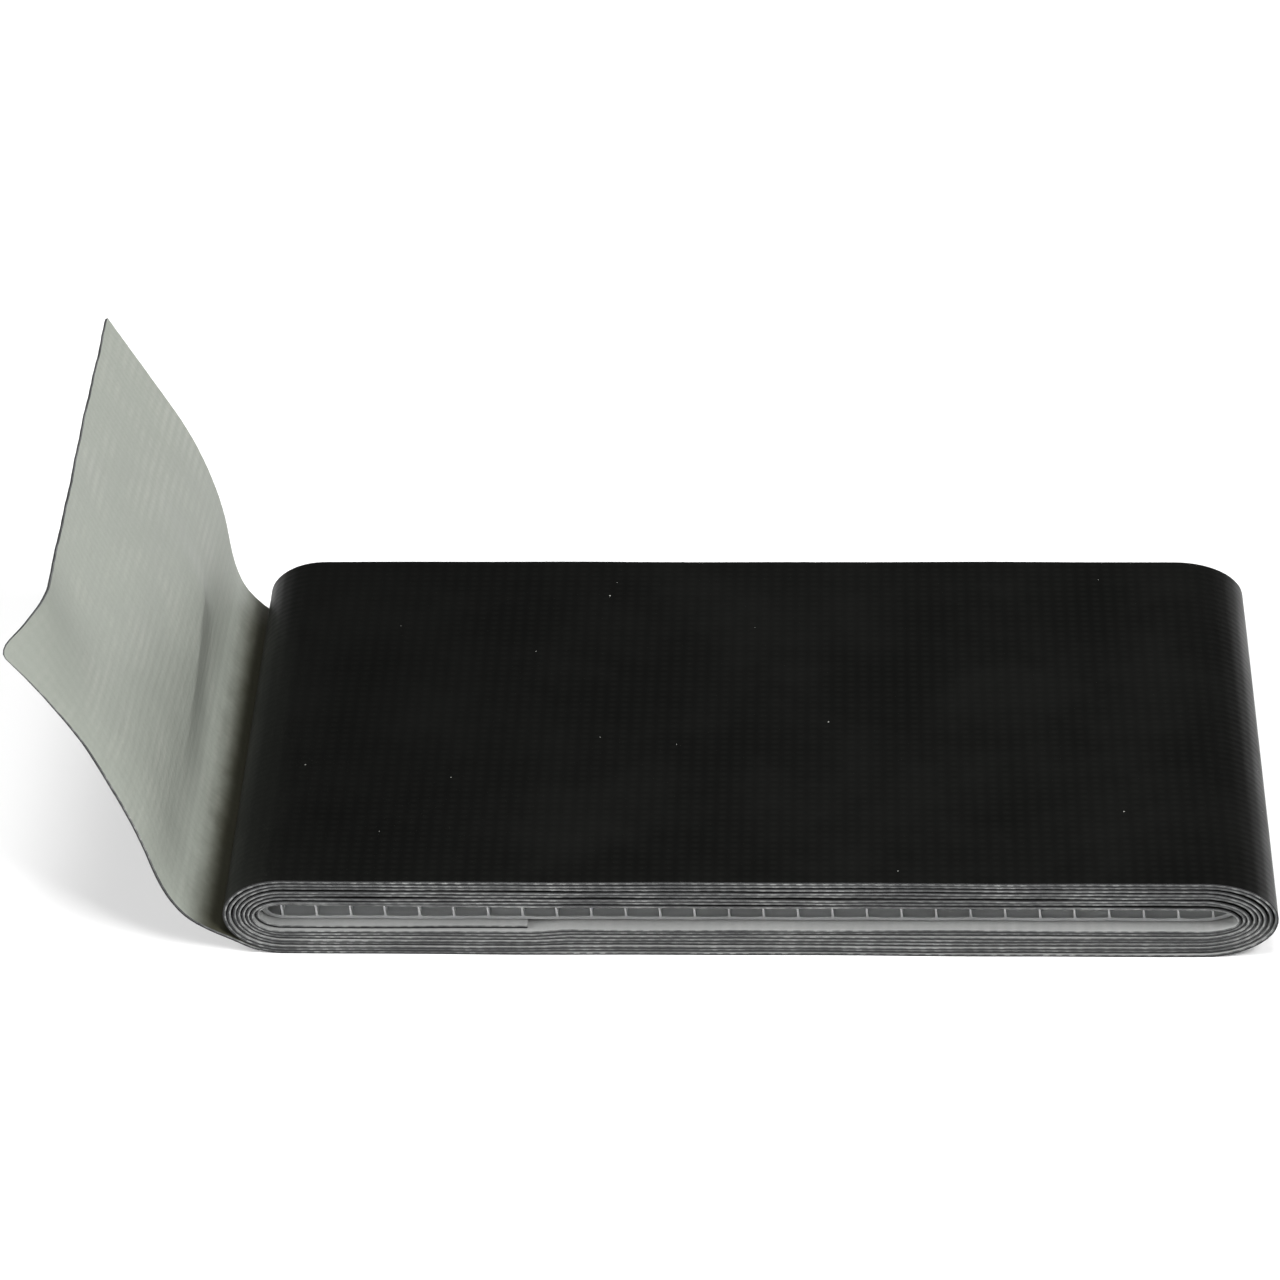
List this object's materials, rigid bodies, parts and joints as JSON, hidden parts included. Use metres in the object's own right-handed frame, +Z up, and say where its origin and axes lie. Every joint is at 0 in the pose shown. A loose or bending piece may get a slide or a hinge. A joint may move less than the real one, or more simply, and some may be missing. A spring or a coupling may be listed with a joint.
{
  "type": "flat-wound duct tape pack",
  "caption": "Pocket pack of black cloth duct tape wound flat round a fluted plastic board, with its free end standing up ready to pull.",
  "frame": {"origin": "on the flat underside of the pack, midway along the core board and midway across the tape", "axes": "+Z up from the surface it rests on, +X along the pack away from the free tail, +Y across the tape, away from the near edge"},
  "size_m": [0.1107, 0.0501, 0.0352],
  "materials": {
    "board": "translucent grey-white polypropylene, satin",
    "film": "black polyethylene film with a fine cloth weave showing through, satin",
    "adhesive": "grey-green rubber adhesive on cotton scrim, slightly shiny"
  },
  "bodies": {
    "pack": {"core_board": "board", "start_tab_film": "film", "start_tab_adhesive": "adhesive", "turn_1_film": "film", "turn_1_adhesive": "adhesive", "turn_2_film": "film", "turn_2_adhesive": "adhesive", "turn_3_film": "film", "turn_3_adhesive": "adhesive", "turn_4_film": "film", "turn_4_adhesive": "adhesive", "turn_5_film": "film", "turn_5_adhesive": "adhesive", "turn_6_film": "film", "turn_6_adhesive": "adhesive", "turn_7_film": "film", "turn_7_adhesive": "adhesive", "turn_8_film": "film", "turn_8_adhesive": "adhesive"},
    "tail_1": {"tail_1_film": "film", "tail_1_adhesive": "adhesive"},
    "tail_2": {"tail_2_film": "film", "tail_2_adhesive": "adhesive"},
    "tail_3": {"tail_3_film": "film", "tail_3_adhesive": "adhesive"},
    "tail_4": {"tail_4_film": "film", "tail_4_adhesive": "adhesive"}
  },
  "joints": [
    {"name": "tail_swing", "type": "hinge", "parent": "pack", "child": "tail_1", "pos_m": [-0.0444, 0.0035, 0.00097], "axis": [0, 1, 0], "range_deg": [-28, 6]},
    {"name": "tail_uncurl_2", "type": "hinge", "parent": "tail_1", "child": "tail_2", "pos_m": [-0.04772, 0.0035, 0.00318], "axis": [0.006, 0.9999, 0.0085], "range_deg": [-18, 4]},
    {"name": "tail_uncurl_3", "type": "hinge", "parent": "tail_2", "child": "tail_3", "pos_m": [-0.04999, 0.0035, 0.00639], "axis": [0.0211, 0.9996, 0.0194], "range_deg": [-20, 5]},
    {"name": "tail_flex", "type": "hinge", "parent": "tail_3", "child": "tail_4", "pos_m": [-0.05333, 0.0035, 0.01998], "axis": [-0.0511, -0.9983, -0.0264], "range_deg": [-20, 20]}
  ],
  "couplings": [
    {"joint": "tail_uncurl_2", "follows": "tail_swing", "ratio": 0.6},
    {"joint": "tail_uncurl_3", "follows": "tail_swing", "ratio": 0.7}
  ]
}
